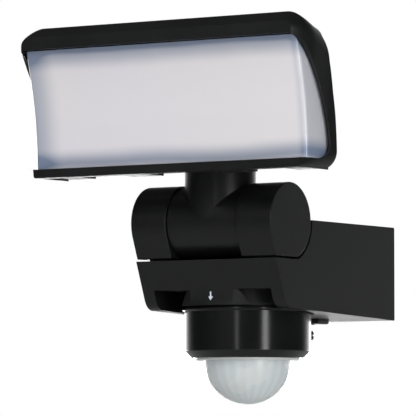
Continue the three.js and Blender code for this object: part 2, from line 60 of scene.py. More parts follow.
MM = 0.001
FIT_GAP = 0.35  # left between pieces that touch, in mm
JOINTS = {joint["name"]: joint for joint in frame["joints"]}
TILT_AXIS = Vector(JOINTS["head_tilt"]["pos_m"])
SENSOR_AXIS = Vector(JOINTS["sensor_turn"]["pos_m"])
SENSOR_Y = (SENSOR_AXIS.y - TILT_AXIS.y) / MM


def node_span(node, axis):
    """Lowest and highest place of a CAD node along one axis, in mm from the tilt axis."""
    low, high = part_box(node)
    return (low[axis] - TILT_AXIS[axis]) / MM, (high[axis] - TILT_AXIS[axis]) / MM


# ---- sizes and colours that a user would change --------------------------------------------------
class LampSizes(bpy.types.PropertyGroup):
    """Sizes of the lamp head's outline, in millimetres from the tilt axis."""

    half_width: bpy.props.FloatProperty(
        name="Half width", description="Middle of the lamp to its side", default=92.5)
    opening_half: bpy.props.FloatProperty(
        name="Opening half width", description="Middle to the cheek's inner face", default=88.0)
    corner_top: bpy.props.FloatProperty(
        name="Top corner", description="Radius of the hood's corners", default=13.0)
    corner_bottom: bpy.props.FloatProperty(
        name="Bottom corner", description="Radius of the lip's corners", default=10.0)
    bow_radius: bpy.props.FloatProperty(
        name="Bow", description="Radius of the bowed faces", default=210.0)
    chamfer_depth: bpy.props.FloatProperty(
        name="Chamfer depth", description="How far back the hood's chamfer runs", default=10.0)
    chamfer_rise: bpy.props.FloatProperty(
        name="Chamfer rise", description="How far the chamfer climbs", default=5.9)
    side_sweep: bpy.props.FloatProperty(
        name="Side sweep", description="Radius of the cheeks' outer front edge", default=29.0)
    lip_inset: bpy.props.FloatProperty(
        name="Lip inset", description="How far the lip's front ends are drawn in", default=6.9)
    edge: bpy.props.FloatProperty(
        name="Edge", description="Radius left on moulded edges", default=0.7)


class HousingSizes(bpy.types.PropertyGroup):
    """Sizes of the wall housing, the yoke and the knuckle, in millimetres."""

    wall: bpy.props.FloatProperty(name="Wall", description="Moulding thickness", default=3.0)
    lean: bpy.props.FloatProperty(
        name="Lean", description="Lean of the front faces, in degrees", default=22.0)
    edge: bpy.props.FloatProperty(
        name="Edge", description="Radius left on moulded edges", default=0.6)
    cradle_radius: bpy.props.FloatProperty(
        name="Cradle", description="Radius of the hollow behind the yoke", default=22.2)


class SensorSizes(bpy.types.PropertyGroup):
    """Sizes of the motion sensor, in millimetres."""

    body_radius: bpy.props.FloatProperty(name="Body", description="Barrel radius", default=35.1)
    lens_radius: bpy.props.FloatProperty(name="Lens", description="Dome radius", default=24.4)
    facets: bpy.props.IntProperty(
        name="Facets", description="Upright lens segments round the dome", default=24)


class FinishColours(bpy.types.PropertyGroup):
    """Colours of the mouldings."""

    black: bpy.props.FloatVectorProperty(
        name="Black plastic", description="Moulded shells", subtype="COLOR", size=3,
        default=(0.0060, 0.0063, 0.0066))
    milky: bpy.props.FloatVectorProperty(
        name="Diffuser", description="Frosted diffuser", subtype="COLOR", size=3,
        default=(0.80, 0.775, 0.82))
    # Blue-grey painted shade laid over the diffuser's edges, where nothing lies close behind it.
    shade: bpy.props.FloatVectorProperty(
        name="Diffuser border", description="Where nothing lies close behind", subtype="COLOR",
        size=3, default=(0.20, 0.25, 0.36))
    lens: bpy.props.FloatVectorProperty(
        name="Lens", description="Sensor dome", subtype="COLOR", size=3,
        default=(0.60, 0.65, 0.66))


# ---- solids ----------------------------------------------------------------------------------------
def new_object(name, work):
    """A linked object from a bmesh whose points are in mm from the tilt axis."""
    bmesh.ops.remove_doubles(work, verts=work.verts, dist=1e-5)
    bmesh.ops.recalc_face_normals(work, faces=work.faces)
    work.transform(Matrix.Translation(TILT_AXIS) @ Matrix.Scale(MM, 4))
    mesh = bpy.data.meshes.new(name)
    work.to_mesh(mesh)
    work.free()
    made = bpy.data.objects.new(name, mesh)
    bpy.context.scene.collection.objects.link(made)
    return made


def loft(name, rings, closed=False):
    """A closed solid through rings of points that all have the same count."""
    work = bmesh.new()
    rows = [[work.verts.new(point) for point in ring] for ring in rings]
    count = len(rows[0])
    pairs = list(zip(rows, rows[1:])) + ([(rows[-1], rows[0])] if closed else [])
    for low, high in pairs:
        for i in range(count):
            j = (i + 1) % count
            work.faces.new((low[i], low[j], high[j], high[i]))
    if not closed:
        work.faces.new(rows[0])
        work.faces.new(rows[-1])
    return new_object(name, work)


def prism(name, outline, low, high, axis):
    """An outline of pairs pushed along an axis: (y, z) along X, (x, z) along Y, (x, y) along Z."""
    place = {
        "X": lambda a, b, t: (t, a, b),
        "Y": lambda a, b, t: (a, t, b),
        "Z": lambda a, b, t: (a, b, t),
    }[axis]
    return loft(name, [[place(a, b, t) for a, b in outline] for t in (low, high)])


def block(name, x_range, y_range, z_range):
    """A box between three pairs of limits."""
    (x0, x1), (y0, y1) = x_range, y_range
    return prism(name, [(x0, y0), (x1, y0), (x1, y1), (x0, y1)], *z_range, "Z")


def turned(name, profile, centre_y=0.0, steps=128, centre_x=0.0):
    """A closed profile of (radius, z) pairs turned about an upright axis."""
    work = bmesh.new()
    rings = []
    for radius, z in profile:
        if radius < 1e-6:
            rings.append([work.verts.new((centre_x, centre_y, z))])
            continue
        ring = []
        for i in range(steps):
            angle = 2 * math.pi * i / steps
            ring.append(work.verts.new(
                (centre_x + radius * math.cos(angle), centre_y + radius * math.sin(angle), z)))
        rings.append(ring)
    for low, high in zip(rings, rings[1:] + rings[:1]):
        if len(low) == 1 and len(high) == 1:
            continue
        for i in range(steps):
            j = (i + 1) % steps
            corners = [low[i % len(low)], low[j % len(low)], high[j % len(high)], high[i % len(high)]]
            work.faces.new(list(dict.fromkeys(corners)))
    return new_object(name, work)


def disc(name, radius, low, high, **place):
    return turned(name, [(0, low), (radius, low), (radius, high), (0, high)], **place)


def rod(name, radius, start, end, steps=48):
    """A round bar between two points."""
    start, end = Vector(start), Vector(end)
    turn = (end - start).to_track_quat("Z", "Y").to_matrix()
    rings = []
    for point in (start, end):
        rings.append([
            point + turn @ Vector((radius * math.cos(2 * math.pi * i / steps),
                                   radius * math.sin(2 * math.pi * i / steps), 0))
            for i in range(steps)])
    return loft(name, rings)


def settle(target):
    """Applies the modifiers that stand on an object."""
    bpy.context.view_layer.update()
    view = bpy.context.evaluated_depsgraph_get()
    mesh = bpy.data.meshes.new_from_object(
        target.evaluated_get(view), preserve_all_data_layers=True, depsgraph=view)
    target.modifiers.clear()
    worn = target.data
    target.data = mesh
    bpy.data.meshes.remove(worn)


def combine(target, operation, tools):
    """Joins, cuts or keeps the common part of target and each tool, then drops the tools."""
    for tool in tools:
        step = target.modifiers.new("step", "BOOLEAN")
        step.operation = operation
        step.solver = "EXACT"
        step.object = tool
        settle(target)
        bpy.data.objects.remove(tool)
    return target


def cut(target, *tools):
    return combine(target, "DIFFERENCE", tools)


def fuse(target, *tools):
    return combine(target, "UNION", tools)


def common(target, *tools):
    return combine(target, "INTERSECT", tools)


def tidy_mesh(target, gap=2e-6):
    """Welds stray doubles and drops the needless points that a cut leaves on flat faces."""
    work = bmesh.new()
    work.from_mesh(target.data)
    bmesh.ops.remove_doubles(work, verts=work.verts, dist=gap)
    bmesh.ops.dissolve_degenerate(work, edges=work.edges, dist=gap)
    bmesh.ops.dissolve_limit(
        work, angle_limit=math.radians(0.05), verts=work.verts, edges=work.edges)
    work.to_mesh(target.data)
    work.free()


def soften(target, width, angle=32, rounds=3):
    """Rounds the sharp edges and shades the faces smoothly between them."""
    tidy_mesh(target)
    bevel = target.modifiers.new("edge", "BEVEL")
    bevel.width = width * MM
    bevel.segments = rounds
    bevel.limit_method = "ANGLE"
    bevel.angle_limit = math.radians(angle)
    bevel.use_clamp_overlap = True
    bevel.miter_outer = "MITER_ARC"
    bevel.harden_normals = False
    settle(target)
    shade(target)
    return target


def shade(target, angle=38):
    """Smooth shading, sharp where faces meet at more than the angle, weighted by face size."""
    mesh = target.data
    mesh.polygons.foreach_set("use_smooth", [True] * len(mesh.polygons))
    mesh.set_sharp_from_angle(angle=math.radians(angle))
    even = target.modifiers.new("even", "WEIGHTED_NORMAL")
    even.keep_sharp = True
    settle(target)


def arc(centre, radius, start, end, steps):
    """Points on a circle from one angle to another, in degrees."""
    return [
        (centre[0] + radius * math.cos(math.radians(start + (end - start) * i / steps)),
         centre[1] + radius * math.sin(math.radians(start + (end - start) * i / steps)))
        for i in range(steps + 1)]


def curve(points, steps):
    """A Bezier curve through its end points, pulled by the ones between."""
    made = []
    order = len(points) - 1
    for k in range(steps + 1):
        t = k / steps
        weights = [math.comb(order, i) * t ** i * (1 - t) ** (order - i) for i in range(order + 1)]
        made.append(tuple(sum(w * p[a] for w, p in zip(weights, points)) for a in (0, 1)))
    return made


def place(piece, body, slot, finish, *nodes):
    """Gives a finished piece its material and body and hides the CAD nodes that it stands for. The slot is not
    used.
    """
    piece.data.materials.clear()
    piece.data.materials.append(finish)
    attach(piece, body)
    if nodes:
        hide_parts(*nodes)
    return piece


# ---- shader maths ------------------------------------------------------------------------------------
class Value:
    """A number or colour socket that Python arithmetic can be written on."""

    def __init__(self, finish, socket):
        self.finish = finish
        self.socket = socket

    def _math(self, operation, *others):
        values = [self.socket] + [o.socket if isinstance(o, Value) else o for o in others]
        return self.finish.node("ShaderNodeMath", {"operation": operation}, values)

    def __add__(self, other):
        return self._math("ADD", other)

    __radd__ = __add__

    def __sub__(self, other):
        return self._math("SUBTRACT", other)

    def __rsub__(self, other):
        return self.finish.node(
            "ShaderNodeMath", {"operation": "SUBTRACT"}, [other, self.socket])

    def __mul__(self, other):
        return self._math("MULTIPLY", other)

    __rmul__ = __mul__

    def __pow__(self, other):
        return self._math("POWER", other)

    def __gt__(self, other):
        return self._math("GREATER_THAN", other)

    def clamp(self):
        return self._math("MAXIMUM", 0.0)._math("MINIMUM", 1.0)

    def step(self, low, high):
        """0 below low, 1 above high, smooth between."""
        return self.finish.node(
            "ShaderNodeMapRange", {"interpolation_type": "SMOOTHSTEP"},
            {"Value": self, "From Min": low, "From Max": high})

    def sine(self):
        return self._math("SINE")


class Finish:
    """A material, built node by node."""

    def __init__(self, name):
        self.material = bpy.data.materials.new(name)
        self.material.use_nodes = True
        self.tree = self.material.node_tree
        self.shader = self.tree.nodes["Principled BSDF"]
        self.where = self.tree.nodes.new("ShaderNodeTexCoord").outputs["Object"]

    def node(self, kind, settings=None, inputs=None, output=0):
        """Adds a node: its settings first, then its inputs by name or in order."""
        made = self.tree.nodes.new(kind)
        for key, value in (settings or {}).items():
            setattr(made, key, value)
        pairs = inputs.items() if isinstance(inputs, dict) else enumerate(inputs or [])
        for key, value in pairs:
            self.feed(made.inputs[key], value)
        return Value(self, made.outputs[output])

    def feed(self, socket, value):
        if isinstance(value, Value):
            value = value.socket
        if isinstance(value, bpy.types.NodeSocket):
            self.tree.links.new(value, socket)
        else:
            socket.default_value = value

    def noise(self, scale, detail=2.0, roughness=0.5, stretch=None):
        """Noise of so many lumps to the metre, optionally stretched per axis."""
        spot = self.where
        if stretch:
            spot = self.node("ShaderNodeVectorMath", {"operation": "MULTIPLY"}, [spot, stretch])
        return self.node("ShaderNodeTexNoise", None, {
            "Vector": spot, "Scale": scale, "Detail": detail, "Roughness": roughness})

    def along(self, axis):
        """The place along one axis, in metres."""
        return self.node("ShaderNodeSeparateXYZ", None, [self.where], output="XYZ".index(axis))

    def mix(self, factor, first, second):
        """Blends two colours."""
        made = self.tree.nodes.new("ShaderNodeMix")
        made.data_type = "RGBA"
        self.feed(made.inputs["Factor"], factor)
        self.feed(made.inputs[6], first)
        self.feed(made.inputs[7], second)
        return Value(self, made.outputs[2])

    def bump(self, height, strength, distance):
        return self.node("ShaderNodeBump", None, {
            "Strength": strength, "Distance": distance, "Height": height})

    def set(self, **sockets):
        """Sets or links the shader's own sockets, written with _ for a space."""
        for key, value in sockets.items():
            self.feed(self.shader.inputs[key.replace("_", " ")], value)
        return self.material


def rgba(colour):
    return (*colour, 1.0)


def moulded_black(name, gloss=0.0):
    """Black moulded plastic: fine spark grain, faint flow marks and pale specks of dust."""
    finish = Finish(name)
    grain = finish.noise(2600.0, 3.0, 0.6)
    cloud = finish.noise(38.0, 3.0, 0.55)
    speck = finish.noise(900.0, 2.0, 0.7)
    black = rgba(bpy.context.scene.flood_finish.black)
    dusty = tuple(min(1.0, c * 1.7 + 0.001) for c in black[:3])
    colour = finish.mix(cloud.step(0.35, 0.75) * 0.35, black, rgba(dusty))
    colour = finish.mix((speck > 0.66) * 0.25, colour, rgba(dusty))
    rough = 0.40 - gloss + (cloud - 0.5) * 0.16 + (grain - 0.5) * 0.10
    return finish.set(
        Base_Color=colour, Roughness=rough, IOR=1.5, Specular_IOR_Level=0.27,
        Normal=finish.bump(grain * 0.7 + speck * 0.3, 0.22, 0.00006))


def milky_diffuser(name):
    """Frosted diffuser: milky in the middle, with blue-grey painted shade along its top, bottom and sides, where
    nothing lies close behind it.
    """
    finish = Finish(name)
    colours = bpy.context.scene.flood_finish
    low, high = (value * MM + TILT_AXIS.z for value in node_span("diffuser", 2))
    half = node_span("diffuser", 0)[1] * MM
    across, up = finish.along("X"), finish.along("Z")
    waver = (finish.noise(16.0, 2.0, 0.5) - 0.5) * 0.004
    from_top = (high - up) + waver
    from_bottom = (up - low) + waver
    from_left = (across + half) + waver
    from_right = (half - across) + waver
    # Painted shade: bands that darken toward the blue-grey shade colour under the hood at the top edge, along the
    # bottom and at both sides.
    top_painted_shade = (1 - from_top.step(0.003, 0.013)) * 0.62
    rim = (1 - from_top.step(0.0005, 0.0042)) * 0.55
    bottom_painted_shade = (1 - from_bottom.step(0.002, 0.0115)) * from_bottom.step(-0.003, 0.003)
    left_painted_shade = 1 - from_left.step(0.002, 0.020)
    right_painted_shade = 1 - from_right.step(0.0, 0.006)
    shade = (top_painted_shade + rim + bottom_painted_shade * 0.75 + left_painted_shade * 0.6 + right_painted_shade * 0.35).clamp()
    warm = finish.noise(9.0, 1.0, 0.4).step(0.4, 0.7)
    milk = finish.mix(warm * 0.5, rgba(colours.milky), (0.80, 0.785, 0.76, 1.0))
    # The painted shade is mixed over the milky colour here.
    colour = finish.mix(shade, milk, rgba(colours.shade))
    frost = finish.noise(3000.0, 2.0, 0.5)
    return finish.set(
        Base_Color=colour, Roughness=0.34 + (frost - 0.5) * 0.1, IOR=1.49,
        Coat_Weight=0.8, Coat_Roughness=0.06,
        Normal=finish.bump(frost, 0.06, 0.00003))


def lens_sheet(name):
    """Thin translucent lens: faint upright segments, each with fine rings."""
    finish = Finish(name)
    sizes = bpy.context.scene.flood_sensor
    x = finish.along("X")
    y = finish.along("Y") - SENSOR_AXIS.y
    turn = finish.node("ShaderNodeMath", {"operation": "ARCTAN2"}, [y, x])
    stripe = (turn * float(sizes.facets)).sine()
    ripple = (finish.along("Z") * 9000.0).sine()
    cloud = finish.noise(60.0, 2.0, 0.5)
    base = sizes.id_data.flood_finish.lens
    pale = tuple(min(1.0, c * 1.12) for c in base)
    warm = (base[0] * 1.10, base[1] * 1.03, base[2] * 0.99, 1.0)
    colour = finish.mix(stripe.step(-0.3, 0.5) * 0.55, rgba(base), rgba(pale))
    colour = finish.mix(cloud.step(0.45, 0.7) * 0.5, colour, warm)
    return finish.set(
        Base_Color=colour, Roughness=0.22 + cloud * 0.1, IOR=1.49,
        Normal=finish.bump(stripe * 0.4 + ripple * 0.12, 0.12, 0.0001))


def plain_plastic(name, colour, rough=0.5, grain_size=1800.0):
    """Plain moulded plastic with a light grain and uneven gloss."""
    finish = Finish(name)
    grain = finish.noise(grain_size, 2.0, 0.6)
    cloud = finish.noise(70.0, 2.0, 0.5)
    darker = tuple(c * 0.86 for c in colour)
    return finish.set(
        Base_Color=finish.mix(cloud.step(0.3, 0.7) * 0.6, rgba(colour), rgba(darker)),
        Roughness=rough + (cloud - 0.5) * 0.15, Normal=finish.bump(grain, 0.15, 0.00005))


def soft_rubber(name):
    """Matt rubber with a dusty bloom."""
    finish = Finish(name)
    grain = finish.noise(1500.0, 3.0, 0.65)
    bloom = finish.noise(120.0, 3.0, 0.6).step(0.45, 0.75)
    return finish.set(
        Base_Color=finish.mix(bloom * 0.5, (0.012, 0.012, 0.012, 1), (0.035, 0.034, 0.032, 1)),
        Roughness=0.78 + (grain - 0.5) * 0.2, Normal=finish.bump(grain, 0.25, 0.00008))


def plated_steel(name):
    """Zinc-plated steel: cloudy spangle and fine turning marks."""
    finish = Finish(name)
    spangle = finish.noise(420.0, 3.0, 0.6)
    lines = finish.noise(260.0, 2.0, 0.5, stretch=(1.0, 1.0, 26.0))
    return finish.set(
        Base_Color=finish.mix(spangle.step(0.35, 0.7), (0.46, 0.46, 0.47, 1), (0.62, 0.62, 0.60, 1)),
        Metallic=1.0, Roughness=0.30 + (spangle - 0.5) * 0.25 + (lines - 0.5) * 0.1,
        Normal=finish.bump(lines, 0.15, 0.00004))


def rolled_aluminium(name):
    """Rolled sheet with marks along its length."""
    finish = Finish(name)
    lines = finish.noise(90.0, 3.0, 0.6, stretch=(0.4, 30.0, 30.0))
    return finish.set(
        Base_Color=finish.mix(lines, (0.52, 0.52, 0.53, 1), (0.68, 0.68, 0.69, 1)),
        Metallic=1.0, Roughness=0.34 + (lines - 0.5) * 0.2,
        Normal=finish.bump(lines, 0.1, 0.00003))


def circuit_board(name, lacquer, copper):
    """Lacquered board with faint tracks showing through."""
    finish = Finish(name)
    x, y = finish.along("X"), finish.along("Y")
    tracks = ((x * 2400.0).sine() > 0.55) * (finish.noise(110.0, 0.0, 0.5) > 0.52)
    ties = ((y * 1900.0).sine() > 0.7) * (finish.noise(95.0, 0.0, 0.5) > 0.55)
    grain = finish.noise(800.0, 2.0, 0.5)
    return finish.set(
        Base_Color=finish.mix((tracks + ties).clamp() * 0.6, rgba(lacquer), rgba(copper)),
        Roughness=0.32 + (grain - 0.5) * 0.2, Normal=finish.bump(tracks + ties, 0.15, 0.00005))


def printed_white(name):
    """Pad-printed white ink with a fine grain."""
    finish = Finish(name)
    grain = finish.noise(2200.0, 3.0, 0.6)
    return finish.set(
        Base_Color=finish.mix(grain.step(0.3, 0.8), (0.62, 0.68, 0.76, 1), (0.82, 0.85, 0.88, 1)),
        Roughness=0.5 + (grain - 0.5) * 0.2, Normal=finish.bump(grain, 0.2, 0.00003))


FINISHES = {}


def finish_of(kind):
    """Each finish is made once, when it is first used."""
    makers = {
        "black": lambda: moulded_black("black moulding"),
        "barrel": lambda: moulded_black("black barrel moulding", gloss=0.22),
        "milky": lambda: milky_diffuser("milky diffuser"),
        "lens": lambda: lens_sheet("lens sheet"),
        "white": lambda: plain_plastic("white moulding", (0.80, 0.81, 0.82)),
        "inner": lambda: plain_plastic("dark grey moulding", (0.10, 0.10, 0.105), 0.55),
        "rubber": lambda: soft_rubber("black rubber"),
        "steel": lambda: plated_steel("zinc-plated steel"),
        "aluminium": lambda: rolled_aluminium("rolled aluminium"),
        "board": lambda: circuit_board("green board", (0.02, 0.13, 0.06), (0.05, 0.22, 0.10)),
        "white board": lambda: circuit_board("white board", (0.82, 0.82, 0.80), (0.66, 0.66, 0.63)),
        "ink": lambda: printed_white("white ink"),
    }
    if kind not in FINISHES:
        FINISHES[kind] = makers[kind]()
    return FINISHES[kind]


# ---- wall housing ------------------------------------------------------------------------------------
BLOCK_FLOOR = -20.8
BLOCK_FRONT_TOP = -15.5
BLOCK_BOTTOM = -47.6
BOX_BOTTOM_AT_WALL = -51.6
BOX_TOP = 1.2
NOTCH_HALF, NOTCH_TOP = 38.0, -36.8
COLLAR_R, COLLAR_END = 34.0, -45.7
PAD_R, PAD_BOTTOM = 39.6, -45.4
FLANGE_R = 36.3
NECK_R = 22.2
BOSS_Y = 92.0


def housing_outline(inset, rear):
    """The housing's side view as (y, z) pairs, drawn in from its skin by inset."""
    sizes = bpy.context.scene.flood_housing
    lean = math.tan(math.radians(sizes.lean))
    top, floor = BOX_TOP - inset, BLOCK_FLOOR - inset
    radius = sizes.cradle_radius + inset
    start = math.degrees(math.asin(top / radius))
    end = math.degrees(math.asin(floor / radius))
    front_top = BLOCK_FRONT_TOP + inset / math.cos(math.radians(sizes.lean)) + inset * lean
    bottom = BLOCK_BOTTOM + inset
    bend = 6.0

    def front(z):
        return front_top + (floor - z) * lean

    corner = curve([(front(bottom + bend), bottom + bend), (front(bottom), bottom),
                    (front(bottom) + bend, bottom)], 14)
    return [(rear, BOX_BOTTOM_AT_WALL + inset), (rear, top), *arc((0, 0), radius, start, end, 28),
            (front_top, floor), *corner]


class FLOOD_OT_housing(bpy.types.Operator):
    """Wall housing with its cradle, notch, sensor collar, turning mark and lock screw boss."""

    bl_idname = "flood.housing"
    bl_label = "Wall housing"

    def execute(self, context):
        wall = context.scene.flood_housing.wall
        half = node_span("wall_housing", 0)[1]
        rear = node_span("wall_housing", 1)[1]
        shell = prism("wall_housing_shell", housing_outline(0, rear), -half, half, "X")
        room = prism("room", housing_outline(wall, rear + 6), -half + wall, half - wall, "X")
        keep = prism("keep", housing_outline(0, rear), -half, half, "X")
        seat = disc("seat", FLANGE_R + 4, -60, COLLAR_END + wall, centre_y=SENSOR_Y)
        pocket = fuse(block("pocket", (-NOTCH_HALF - wall, NOTCH_HALF + wall),
                            (-20, SENSOR_Y + wall), (-60, NOTCH_TOP + wall)), seat)
        boss = block("boss", (-11, 11), (BOSS_Y - 7, BOSS_Y + 6), (-53.5, -48))
        soften(boss, 1.2, rounds=2)
        cut(shell, room)
        fuse(shell, common(pocket, keep), boss)
        cut(shell,
            block("notch", (-NOTCH_HALF, NOTCH_HALF), (-40, SENSOR_Y), (-60, NOTCH_TOP)),
            disc("recess", FLANGE_R + 1, -70, COLLAR_END, centre_y=SENSOR_Y))
        fuse(shell,
            disc("collar", COLLAR_R, COLLAR_END, NOTCH_TOP + 1, centre_y=SENSOR_Y, steps=192),
            self.turn_pad(context))
        cut(shell,
            disc("collar_bore", COLLAR_R - wall, COLLAR_END + wall, -30, centre_y=SENSOR_Y),
            disc("neck_bore", NECK_R + 0.5, -60, -40, centre_y=SENSOR_Y),
            disc("lock_hole", 2.4, -60, -40, centre_y=BOSS_Y, steps=32),
            disc("lock_seat", 4.4, -60, -51.6, centre_y=BOSS_Y, steps=48),
            block("wire_slot", (-7, 7), (7.6, 14.5), (-30, 0)))
        for x in (-34, 34):
            for y in (-5.5, 3.5):
                cut(shell, disc("foot_hole", 2.3, -26.7, -15, centre_x=x, centre_y=y, steps=24),
                    disc("head_room", 3.6, -26.7, -23.8, centre_x=x, centre_y=y, steps=32))
        soften(shell, context.scene.flood_housing.edge)
        place(shell, "root", "black_plastic", finish_of("black"), "wall_housing")
        self.arrow(context)
        return {"FINISHED"}

    def turn_pad(self, context):
        """The part of a cylinder about the sensor's axis that lies ahead of the leaning face."""
        lean = math.tan(math.radians(context.scene.flood_housing.lean))
        low, high = ((BLOCK_FRONT_TOP + (BLOCK_FLOOR - z) * lean + 1, z) for z in (-60, -26))
        ahead = prism("ahead", [(-30, -60), low, high, (-30, -26)], -24, 24, "X")
        fuse(ahead, block("web", (-10, 10), (-20, -3), (PAD_BOTTOM, NOTCH_TOP + 1)))
        return common(disc("turn_pad", PAD_R, PAD_BOTTOM, -26, centre_y=SENSOR_Y, steps=256), ahead)

    def arrow(self, context):
        """A small white arrow printed on the pad, pointing down at the turning sensor."""
        angle_mid = math.radians(-90 + 1.4)
        outline = [(-0.45, 2.5), (0.45, 2.5), (0.45, -0.2), (1.5, -0.2), (0, -2.4),
                   (-1.5, -0.2), (-0.45, -0.2)]
        height = -40.6
        rings = []
        for radius in (PAD_R - 0.1, PAD_R + 0.06):
            rings.append([
                (radius * math.cos(angle_mid + a / PAD_R),
                 SENSOR_Y + radius * math.sin(angle_mid + a / PAD_R), height + z)
                for a, z in outline])
        mark = loft("turn_arrow", rings)
        place(mark, "root", "white_plastic", finish_of("ink"))


# ---- yoke and knuckle --------------------------------------------------------------------------------
ARM_R, ARM_FLAT = 21.0, -19.7
FOOT_X, FOOT_SCREW_Y = 34, (-5.5, 3.5)
AXLE_BORE_R = 4.35
WASHER_SEAT_R, WASHER_SEAT_X = 14.3, 21
KNUCKLE_R = 19.7
SPIGOT_R, STEM_TOP, SOCKET_TOP = 13.5, 30.4, 60.0
class FLOOD_OT_yoke(bpy.types.Operator):
    """The two yoke arms and the tilting knuckle with its stem."""

    bl_idname = "flood.yoke"
    bl_label = "Yoke"

    def execute(self, context):
        sizes = context.scene.flood_housing
        lean = math.radians(sizes.lean)
        tangent = 180 + sizes.lean
        start = math.degrees(math.asin(ARM_FLAT / ARM_R))
        corner = -ARM_R * math.cos(lean) + (-ARM_FLAT - ARM_R * math.sin(lean)) * math.tan(lean)
        outline = [(corner, ARM_FLAT), *arc((0, 0), ARM_R, start, tangent, 96)]
        for name in ("yoke_arm_left", "yoke_arm_right"):
            low, high = node_span(name, 0)
            side = 1 if low > 0 else -1
            arm = prism(name + "_shell", outline, low, high, "X")
            inner = low if side > 0 else high
            cut(arm, rod("bore", AXLE_BORE_R, (inner - side * 5, 0, 0), (inner + side * 15, 0, 0)))
            soften(arm, sizes.edge)
            foot = block("foot", (side * FOOT_X - 6, side * FOOT_X + 6), (-10, 6.5),
                         (BLOCK_FLOOR + FIT_GAP, ARM_FLAT + 1))
            fuse(arm, foot)
            for y in FOOT_SCREW_Y:
                cut(arm, disc("hole", 2.3, -30, -12, centre_x=side * FOOT_X, centre_y=y, steps=24))
            shade(arm)
            place(arm, "root", "black_plastic", finish_of("black"), name)
        self.knuckle(context)
        return {"FINISHED"}

    def knuckle(self, context):
        half = node_span("tilt_knuckle", 0)[1]
        tube = rod("tilt_knuckle_shell", KNUCKLE_R, (-half, 0, 0), (half, 0, 0), steps=160)
        stem = turned("stem", [
            (0, 0), (KNUCKLE_R, 0), (KNUCKLE_R, STEM_TOP), (SPIGOT_R, STEM_TOP), (SPIGOT_R, SOCKET_TOP),
            (11, SOCKET_TOP), (11, 62.5), (12.6, 62.5), (12.6, 64.2), (0, 64.2)], steps=160)
        fuse(tube, stem)
        cut(tube, rod("seat_left", WASHER_SEAT_R, (-half - 1, 0, 0), (-WASHER_SEAT_X, 0, 0)),
            rod("seat_right", WASHER_SEAT_R, (WASHER_SEAT_X, 0, 0), (half + 1, 0, 0)),
            rod("axle_bore", AXLE_BORE_R, (-30, 0, 0), (30, 0, 0)),
            disc("wire_bore", 8.5, 7, 70, steps=48),
            block("wire_slot", (-8, 8), (5.5, 30), (-25, 10)))
        soften(tube, 0.35)
        place(tube, "tilt_arm", "black_plastic", finish_of("black"), "tilt_knuckle")


# ---- lamp head -----------------------------------------------------------------------------------------
ARC_MID_Z = 26.0
LIP_BOTTOM, LIP_TOP, LIP_FRONT = 25.0, 29.2, -57.0
HOOD_UNDER, HOOD_TOP = 94.3, 106.8
CHEEK_BACK_Y, HOOD_BREAK_Y = -29.4, -57.4
FACE_Y, DIFFUSER_BACK_Y, BEZEL_BACK_Y, COVER_BACK_Y = -52.2, -33.3, -29.3, -25.3
RIBS = ((-83.4, -65.8), (-40.0, -20.7), (20.7, 40.0), (65.8, 83.4))
COVER_SCREWS = ((-72, 42), (72, 42), (-72, 84), (72, 84))


def bowed(start_y, z):
    """How far back a bowed face lies at a height."""
    radius = bpy.context.scene.flood_lamp.bow_radius
    return start_y - (radius - math.sqrt(radius ** 2 - (z - ARC_MID_Z) ** 2))


def bowed_slab(name, front_y, back_y, z_range, half, steps=40):
    """A slab between two bowed faces, as wide as twice half."""
    low, high = z_range
    heights = [low + (high - low) * i / steps for i in range(steps + 1)]
    outline = [(bowed(front_y, z), z) for z in heights]
    outline += [(bowed(back_y, z), z) for z in reversed(heights)]
    return prism(name, outline, -half, half, "X")


def front_outline(half_low, half_high, low, high, low_r, high_r, steps=14):
    """A front outline as (x, z) pairs with its own half width and radius below and above."""
    right = [*arc((half_low - low_r, low + low_r), low_r, -90, 0, steps),
             *arc((half_high - high_r, high - high_r), high_r, 0, 90, steps)]
    return right + [(-x, z) for x, z in reversed(right)]


